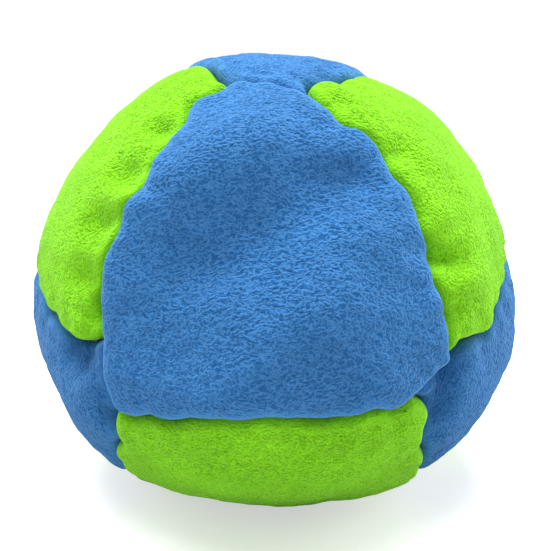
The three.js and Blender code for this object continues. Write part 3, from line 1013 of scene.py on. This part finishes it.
@dataclass(frozen=True)
class SuedeFinish:
    """Brushed microsuede: a fine matted nap, with painted shade in its hollows and a painted highlight on its tips.

    The reaches and places are distances from the nearest seam, and the dips depths below the bag's outline. They and
    the lengths are millimetres.
    """

    name: str
    slot: str
    # The hollow colour is painted shade in the nap's hollows, and the tip colour a painted highlight on its crests
    hollow: tuple[float, float, float]
    body: tuple[float, float, float]
    tip: tuple[float, float, float]
    # The edge colour is a painted highlight on the rolled edge
    edge: tuple[float, float, float]
    # The fold colour is painted shade where the suede lies deep in the valleys by the seams
    painted_valley_shade: tuple[float, float, float]
    sheen_tint: tuple[float, float, float]
    nap_relief: float = 0.43
    sheen: float = 0.18
    sheen_roughness: float = 0.32
    least_roughness: float = 0.85
    most_roughness: float = 1.0
    specular: float = 0.08
    mat_length: float = 0.28
    mat_stretch: float = 1.5
    mat_swirl: float = 0.7
    mat_detail: float = 1.6
    swirl_length: float = 1.3
    swirl_detail: float = 1.0
    crest_sharpness: float = 5.0
    crest_power: float = 1.5
    hollow_share: float = 0.1
    body_share: float = 0.45
    tip_share: float = 0.95
    patch_length: float = 6.0
    patch_detail: float = 3.0
    patch_darkening: float = 0.12
    patch_dark: float = 0.35
    patch_pale: float = 0.65
    layer_strength: float = 0.55
    # How much the rolled edge's painted highlight counts, and the distances from the seam where it is full and where it
    # starts
    edge_share: float = 0.8
    edge_reach: float = 1.7
    edge_place: float = 0.5
    # How deep the suede lies where the painted shade starts and where it is full, and how much it counts
    dip_start: float = 0.5
    dip_end: float = 2.2
    dip_share: float = 0.9
    nap_place: float = 0.12
    edge_nap: float = 0.45

    def material(self) -> bpy.types.Material:
        """Makes the material. A highlight is painted on the nap's rolled edge, and shade is painted where the suede
        lies deep.

        Returns:
            The material.
        """
        nodes = NodeTree(self.name)
        grain = nodes.node("Attribute", {"attribute_name": "grain"}).outputs["Vector"]
        rim = nodes.node("Attribute", {"attribute_name": "rim"}).outputs["Fac"]
        dip = nodes.node("Attribute", {"attribute_name": "dip"}).outputs["Fac"]
        mats = nodes.noise(self.swirled(nodes, grain), self.mat_length, self.mat_detail, self.layer_strength)
        crests = nodes.ridge(mats, self.crest_sharpness, self.crest_power)
        patches = nodes.noise(grain, self.patch_length, self.patch_detail, self.layer_strength)
        # The nap's colour follows its relief: painted shade in the hollows, a painted highlight on the crests
        stops = ((self.hollow_share, self.hollow), (self.body_share, self.body), (self.tip_share, self.tip))
        darkened = (1 - self.patch_darkening,) * 3
        patchy = nodes.ramp(patches, ((self.patch_dark, darkened), (self.patch_pale, (1.0, 1.0, 1.0))))
        # The painted highlight on the rolled edge grows towards the seam
        rolled = nodes.spread(rim, self.edge_reach, self.edge_place, 0.0, self.edge_share)
        # Shade is painted where the suede lies deep below the outline, in the valleys by the seams
        folded = nodes.spread(dip, self.dip_start, self.dip_end, 0.0, self.dip_share)
        nap = nodes.mixed("MULTIPLY", 1.0, nodes.ramp(crests, stops), patchy)
        # The rolled edge is painted paler: a painted highlight
        painted_edge_highlight = nodes.mixed("MIX", rolled, nap, (*self.edge, 1.0))
        colour = nodes.mixed("MIX", folded, painted_edge_highlight, (*self.painted_valley_shade, 1.0))
        standing = nodes.spread(rim, self.nap_place, self.edge_reach, self.edge_nap, 1.0)
        bump = nodes.node("Bump", Height=mats, Distance=self.nap_relief * METRES, Strength=standing)
        rough = nodes.spread(crests, 0.0, 1.0, self.most_roughness, self.least_roughness)
        nodes.shade(Base_Color=colour, Normal=bump.outputs["Normal"], Roughness=rough)
        nodes.shade(Specular_IOR_Level=self.specular, Sheen_Weight=self.sheen)
        nodes.shade(Sheen_Roughness=self.sheen_roughness, Sheen_Tint=(*self.sheen_tint, 1.0))
        return nodes.material

    def swirled(self, nodes: NodeTree, grain: bpy.types.NodeSocket) -> bpy.types.NodeSocket:
        """Bends the grain, so that the mats curl.

        Args:
            nodes: the material's nodes.
            grain: the socket of the place along, across and out of the grain.

        Returns:
            The socket of the bent place, shortened along the grain so that the mats lie lengthways.
        """
        drift = nodes.node("TexNoise", Vector=grain, Scale=1 / self.swirl_length, Detail=self.swirl_detail)
        pushed = nodes.node("VectorMath", {"operation": "MULTIPLY_ADD"})
        nodes.feed(pushed.inputs[0], drift.outputs["Color"])
        pushed.inputs[1].default_value = (self.mat_swirl,) * 3
        nodes.feed(pushed.inputs[2], grain)
        squeezed = nodes.node("VectorMath", {"operation": "MULTIPLY"})
        nodes.feed(squeezed.inputs[0], pushed.outputs["Vector"])
        squeezed.inputs[1].default_value = (1 / self.mat_stretch, 1.0, 1.0)
        return squeezed.outputs["Vector"]


# In both finishes the hollow colour is painted shade and the tip colour a painted highlight on the nap
BLUE = SuedeFinish(
    "blue_suede",
    "suede_blue",
    hollow=(0.022, 0.131, 0.375),
    body=(0.035, 0.175, 0.455),
    tip=(0.071, 0.249, 0.57),
    # The edge colour is a painted highlight on the rolled edge
    edge=(0.074, 0.262, 0.59),
    # The fold colour is painted shade for the deep valleys
    painted_valley_shade=(0.010, 0.075, 0.26),
    sheen_tint=(0.6, 0.85, 1.0),
)
GREEN = SuedeFinish(
    "green_suede",
    "suede_green",
    hollow=(0.16, 0.58, 0.004),
    body=(0.235, 0.70, 0.008),
    tip=(0.32, 0.83, 0.030),
    # The edge colour is a painted highlight on the rolled edge
    edge=(0.25, 0.72, 0.018),
    # The fold colour is painted shade for the deep valleys
    painted_valley_shade=(0.075, 0.34, 0.003),
    sheen_tint=(0.8, 1.0, 0.5),
    sheen=0.2,
    nap_relief=0.44,
    mat_length=0.22,
    mat_stretch=1.2,
)


@dataclass(frozen=True)
class GrainFinish:
    """A plain rough finish with a fine grain, for what lies inside the skin."""

    name: str
    dark: tuple[float, float, float]
    pale: tuple[float, float, float]
    grain_length: float
    relief: float
    relief_share: float = 0.7
    pale_share: float = 0.1
    dark_share: float = 0.8
    roughness: float = 0.8

    def material(self) -> bpy.types.Material:
        """Makes the material.

        Returns:
            The material.
        """
        nodes = NodeTree(self.name)
        place = nodes.node("TexCoord").outputs["Object"]
        grain = nodes.node("TexVoronoi", Vector=place, Scale=1 / (self.grain_length * METRES)).outputs["Distance"]
        colour = nodes.ramp(grain, ((self.pale_share, self.pale), (self.dark_share, self.dark)))
        bump = nodes.node("Bump", Height=grain, Distance=self.relief * METRES, Strength=self.relief_share)
        nodes.shade(Base_Color=colour, Normal=bump.outputs["Normal"], Roughness=self.roughness)
        return nodes.material


SAND = GrainFinish("dry_sand", dark=(0.38, 0.27, 0.15), pale=(0.72, 0.58, 0.38), grain_length=0.35, relief=0.12)
THREAD = GrainFinish("sewing_thread", dark=(0.02, 0.08, 0.2), pale=(0.05, 0.17, 0.4), grain_length=0.2, relief=0.05)


@dataclass(frozen=True)
class SoftLight:
    """A square soft light that faces the bag, with its place and its side in metres and its power in watts."""

    name: str
    place: tuple[float, float, float]
    power: float
    side: float = 0.4

    def build(self, target: Vector) -> None:
        """Adds the light.

        Args:
            target: what it faces, in metres.
        """
        light = bpy.data.lights.new(self.name, "AREA")
        light.size = self.side
        light.energy = self.power
        lamp = bpy.data.objects.new(self.name, light)
        lamp.location = self.place
        lamp.rotation_euler = (target - lamp.location).to_track_quat("-Z", "Y").to_euler()
        bpy.context.scene.collection.objects.link(lamp)


LIGHTS = (
    SoftLight("key_light", (-0.05, 0.0, 0.52), power=5.2),
    SoftLight("left_light", (-0.42, 0.24, 0.22), power=1.8),
    SoftLight("right_light", (0.48, 0.18, 0.18), power=2.9),
)


@dataclass
class Studio:
    """A pale floor, soft light from above and both sides, and the camera.

    The floor's size, the reach of its shadow and where the camera's view starts are metres.
    """

    floor_size: float = 2.4
    floor_roughness: float = 0.9
    elevation: float = 12.18
    distance: float = 84.0
    target: tuple[float, float, float] = (0.22, 0.0, 22.19)
    lens: float = 47.32
    sensor_width: float = 36.0
    clip_start: float = 0.001
    world_light: float = 0.235
    floor_white: float = 0.66
    floor_glow: float = 0.55
    shadow_reach: float = 0.12

    def build(self) -> None:
        """Sets up the floor, the lights and the camera."""
        self.add_floor()
        self.add_world()
        for light in LIGHTS:
            light.build(Vector(self.target) * METRES)
        self.add_camera()

    def add_floor(self) -> None:
        """Lays the floor. To the camera it is white but for the bag's shadow, and to the light it is pale grey."""
        bm = bmesh.new()
        bmesh.ops.create_grid(bm, x_segments=1, y_segments=1, size=self.floor_size)
        floor = link(meshed(bm, "studio_floor"))
        nodes = NodeTree("white_floor")
        nodes.shade(Base_Color=(*(self.floor_white,) * 3, 1.0), Roughness=self.floor_roughness)
        nodes.shade(Specular_IOR_Level=0.0, Emission_Color=WHITE)
        away = nodes.node("VectorMath", {"operation": "LENGTH"})
        nodes.feed(away.inputs[0], nodes.node("TexCoord").outputs["Object"])
        glow = nodes.spread(away.outputs["Value"], self.shadow_reach / 2, self.shadow_reach, self.floor_glow, 1.0)
        seen = nodes.node("LightPath").outputs["Is Camera Ray"]
        nodes.shade(Emission_Strength=nodes.math("MULTIPLY", seen, glow))
        floor.data.materials.append(nodes.material)

    def add_world(self) -> None:
        """Makes the surroundings white to the camera and gently bright to the bag."""
        world = bpy.data.worlds.new("studio_world")
        bpy.context.scene.world = world
        world.use_nodes = True
        tree = world.node_tree
        background = tree.nodes["Background"]
        background.inputs["Color"].default_value = WHITE
        path = tree.nodes.new("ShaderNodeLightPath")
        level = tree.nodes.new("ShaderNodeMapRange")
        level.inputs["To Min"].default_value = self.world_light
        level.inputs["To Max"].default_value = 1.0
        tree.links.new(path.outputs["Is Camera Ray"], level.inputs["Value"])
        tree.links.new(level.outputs["Result"], background.inputs["Strength"])

    def add_camera(self) -> None:
        """Places the camera at the photograph's angle and distance."""
        rise = math.radians(self.elevation)
        back = Vector((0.0, -math.cos(rise), math.sin(rise)))
        camera = bpy.data.objects.new("camera", bpy.data.cameras.new("camera"))
        camera.data.sensor_width = self.sensor_width
        camera.data.lens = self.lens
        camera.data.clip_start = self.clip_start
        camera.location = (Vector(self.target) + back * self.distance) * METRES
        camera.rotation_euler = (-back).to_track_quat("-Z", "Y").to_euler()
        bpy.context.scene.collection.objects.link(camera)
        bpy.context.scene.camera = camera


@dataclass
class Footbag:
    """The whole bag: fourteen suede panels round the thread and the sand."""

    layout: SewnLayout
    relief: Relief = field(default_factory=Relief)

    def build(self) -> None:
        """Builds each panel in place of its plain solid, then dresses what the frame keeps."""
        finishes = {Shape.HEXAGON: BLUE, Shape.SQUARE: GREEN}
        materials = {shape: finish.material() for shape, finish in finishes.items()}
        sewn = [SuedePanel(panel, self.layout, self.relief) for panel in self.layout.panels]
        for suede in sewn:
            shape = suede.panel.shape
            piece = self.placed(suede.build(), suede.panel.name, finishes[shape].slot, materials[shape])
            length, width, area = suede.cut()
            LOG.info("%s: cut %.1f x %.1f mm, %.0f mm2", piece.name, width, length, area)
        self.placed(Sand(sewn).build(), "sand_filling", "sand", SAND.material())
        self.dress_thread()

    @staticmethod
    def placed(piece: bpy.types.Object, node: str, slot: str, material: bpy.types.Material) -> bpy.types.Object:
        """Puts a piece in the place of its plain solid.

        Args:
            piece: the finished piece.
            node: the solid that it stands for.
            slot: the slot of its material; not used.
            material: the material.

        Returns:
            The piece.
        """
        piece.data.materials.append(material)
        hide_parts(node)
        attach(piece, "root")
        LOG.info("%s: %d faces", piece.name, len(piece.data.polygons))
        return piece

    @staticmethod
    def dress_thread() -> None:
        """Gives the thread its finish."""
        thread = THREAD.material()
        for name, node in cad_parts.items():
            if "thread" in name:
                node.data.materials.clear()
                node.data.materials.append(thread)


def main() -> None:
    """Builds the bag and its studio."""
    logging.basicConfig(level=logging.INFO, format="%(name)s: %(message)s")
    bpy.context.scene.view_settings.view_transform = "Standard"
    outline = BagOutline(swells=SEEN_SWELLS + FarSwells().drawn())
    Footbag(SewnLayout(outline)).build()
    Studio().build()


if __name__ == "__main__":
    main()
